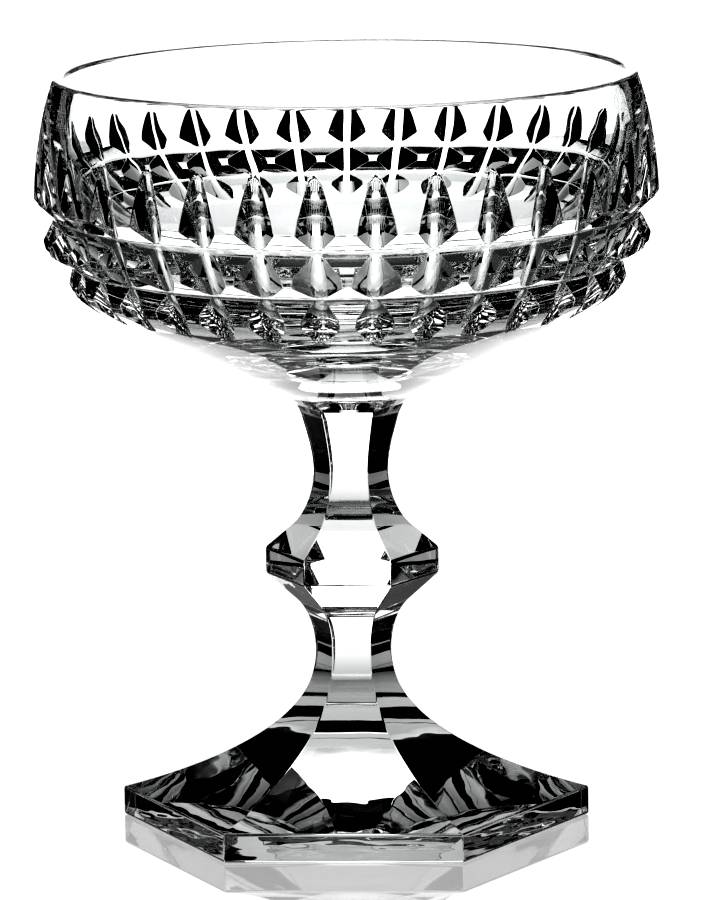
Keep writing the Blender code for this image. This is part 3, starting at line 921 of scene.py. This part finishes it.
def hang(scene, stage, camera, name, right):
    """Stands a lit panel behind the glass, across the camera's view, which follows the camera round. The
    corners of its right half are given as they are seen from the glass, by their angles across and up."""
    middle = BOWL_HIGH.z / 2
    distance = stage.panel_distance
    points = []
    for across, up in mirrored(right):
        points.append((distance * math.tan(across), distance, middle + distance * math.tan(up)))
    panel = flat_piece(scene, name, points, lit_panel(name, stage.panel_light))
    panel.parent = camera
    panel.matrix_parent_inverse = camera.matrix_world.inverted() @ Matrix.Rotation(stage.camera_turn, 4, "Z")


def lay(scene, camera, name, points, material, is_mirrored=False):
    """Puts a sheet or a flag on the table, which turns with the camera and shows only in the glass: mirrored
    by its outer faces, or through it."""
    sheet = flat_piece(scene, name, points, material)
    turn = sheet.constraints.new("COPY_ROTATION")
    turn.target = camera
    turn.use_x = False
    turn.use_y = False
    sheet.visible_camera = False
    sheet.visible_glossy = is_mirrored
    sheet.visible_transmission = not is_mirrored


def set_lights(scene, stage, camera):
    """A bright panel behind the glass, and the sheets and flags on the table that the glass shows."""
    panel = [
        (stage.panel_reach, -stage.panel_bottom),
        (stage.panel_reach, stage.panel_shoulder),
        (stage.panel_top_reach, stage.panel_top),
    ]
    hang(scene, stage, camera, "light_panel", panel)

    end = stage.pool_end
    strip = [
        (stage.strip_near_width / 2, stage.strip_start),
        (stage.strip_near_width / 2, stage.strip_bend),
        (stage.strip_wide_width / 2, stage.strip_shoulder),
        (stage.strip_far_width / 2, end),
    ]
    pool = [(stage.pool_reach, -stage.pool_front), (stage.pool_reach, end)]
    level = FOOT_LOW.z - stage.table_gap / 2
    white = lit_panel("white_strip", stage.strip_light)
    black = black_felt()
    lay(scene, camera, "white_strip", level_outline(strip, level), white, is_mirrored=True)
    # The light pool is a sheet with a painted pool of light and painted shadow of the foot, seen only through
    # the glass
    lay(scene, camera, "light_pool", level_outline(pool, level), painted_light_pool(stage))
    for name, side in (("left_flag", -0.5), ("right_flag", 0.5)):
        near = (side * stage.flag_near_gap, stage.flag_start)
        far = (side * stage.flag_far_gap, end)
        top = level + stage.flag_height
        lay(scene, camera, name, [(*near, level), (*far, level), (*far, top), (*near, top)], black)


def set_table(scene, stage):
    angles = [2 * math.pi * index / TABLE_CORNERS for index in range(TABLE_CORNERS)]
    points = [(stage.table_radius * math.cos(a), stage.table_radius * math.sin(a), 0.0) for a in angles]
    table = flat_piece(scene, "table", points, opal_acrylic(stage.table_light))
    table.location.z = FOOT_LOW.z - stage.table_gap
    table.visible_transmission = False


def set_room(scene, stage):
    """A dark room with a paler floor and a soft light overhead, and enough bounces for light to find its way
    through the crystal. The picture has the high contrast of glass against a bright ground."""
    world = bpy.data.worlds.new("dark_room")
    world.use_nodes = True
    world.node_tree.nodes.clear()
    direction = add_node(world, "ShaderNodeTexCoord").outputs["Generated"]
    height = add_node(world, "ShaderNodeSeparateXYZ", {"Vector": direction}).outputs["Z"]
    floor = {
        "Value": height,
        "From Min": -math.sin(stage.floor_start),
        "From Max": -math.sin(stage.floor_full),
        "To Min": stage.room_light,
        "To Max": stage.floor_light,
    }
    low = add_node(world, "ShaderNodeMapRange", floor).outputs["Result"]
    overhead = {
        "Value": height,
        "From Min": math.sin(stage.overhead_start),
        "From Max": math.sin(stage.overhead_full),
        "To Max": stage.overhead_light,
    }
    high = add_node(world, "ShaderNodeMapRange", overhead).outputs["Result"]
    strength = add_node(world, "ShaderNodeMath", {0: low, 1: high}, operation="ADD").outputs["Value"]
    light = {"Color": linear("FFFFFF"), "Strength": strength}
    background = add_node(world, "ShaderNodeBackground", light).outputs["Background"]
    add_node(world, "ShaderNodeOutputWorld", {"Surface": background})
    scene.world = world
    scene.view_settings.view_transform = "Standard"
    scene.view_settings.look = "Very High Contrast"
    scene.view_settings.use_curve_mapping = True
    scene.view_settings.curve_mapping.black_level = [stage.black_level] * 3
    scene.cycles.max_bounces = LIGHT_BOUNCES
    scene.cycles.glossy_bounces = LIGHT_BOUNCES
    scene.cycles.transmission_bounces = LIGHT_BOUNCES
    scene.cycles.transparent_max_bounces = LIGHT_BOUNCES


class GLASS_OT_make_foot(bpy.types.Operator):
    """Makes the six-sided crystal foot"""

    bl_idname = "sherbet_glass.make_foot"
    bl_label = "Make Foot"

    def execute(self, context):
        make_foot(context.scene)
        return {"FINISHED"}


class GLASS_OT_make_stem(bpy.types.Operator):
    """Makes the six-sided crystal stem with its knop"""

    bl_idname = "sherbet_glass.make_stem"
    bl_label = "Make Stem"

    def execute(self, context):
        make_stem(context.scene)
        return {"FINISHED"}


class GLASS_OT_make_bowl(bpy.types.Operator):
    """Makes the crystal bowl with its tiers and mitre cuts"""

    bl_idname = "sherbet_glass.make_bowl"
    bl_label = "Make Bowl"

    def execute(self, context):
        make_bowl(context.scene)
        return {"FINISHED"}


class GLASS_OT_set_stage(bpy.types.Operator):
    """Sets up the camera, the lights, the table and the room"""

    bl_idname = "sherbet_glass.set_stage"
    bl_label = "Set Stage"

    def execute(self, context):
        scene = context.scene
        stage = scene.glass_stage
        camera = set_camera(scene, stage)
        set_lights(scene, stage, camera)
        set_table(scene, stage)
        set_room(scene, stage)
        return {"FINISHED"}


OPERATORS = (GLASS_OT_make_foot, GLASS_OT_make_stem, GLASS_OT_make_bowl, GLASS_OT_set_stage)


class GLASS_PT_panel(bpy.types.Panel):
    """The sherbet glass's pieces and sizes"""

    bl_idname = "GLASS_PT_panel"
    bl_label = "Sherbet Glass"
    bl_space_type = "VIEW_3D"
    bl_region_type = "UI"
    bl_category = "Sherbet Glass"

    def draw(self, context):
        for operator in OPERATORS:
            self.layout.operator(operator.bl_idname)
        for name, group in GROUPS.items():
            box = self.layout.box()
            box.label(text=group.__doc__)
            for size in group.__annotations__:
                box.prop(getattr(context.scene, name), size)


GROUPS = {
    "glass_foot": FootSizes,
    "glass_stem": StemSizes,
    "glass_bowl": BowlSizes,
    "glass_cuts": CutSizes,
    "glass_crystal": CrystalFinish,
    "glass_stage": StageSizes,
}


def register():
    for name, group in GROUPS.items():
        bpy.utils.register_class(group)
        setattr(bpy.types.Scene, name, PointerProperty(type=group))
    for each in (*OPERATORS, GLASS_PT_panel):
        bpy.utils.register_class(each)


def unregister():
    for each in reversed((*OPERATORS, GLASS_PT_panel)):
        bpy.utils.unregister_class(each)
    for name, group in reversed(GROUPS.items()):
        delattr(bpy.types.Scene, name)
        bpy.utils.unregister_class(group)


def main():
    register()
    bpy.ops.sherbet_glass.make_foot()
    bpy.ops.sherbet_glass.make_stem()
    bpy.ops.sherbet_glass.make_bowl()
    bpy.ops.sherbet_glass.set_stage()


if __name__ == "__main__":
    main()
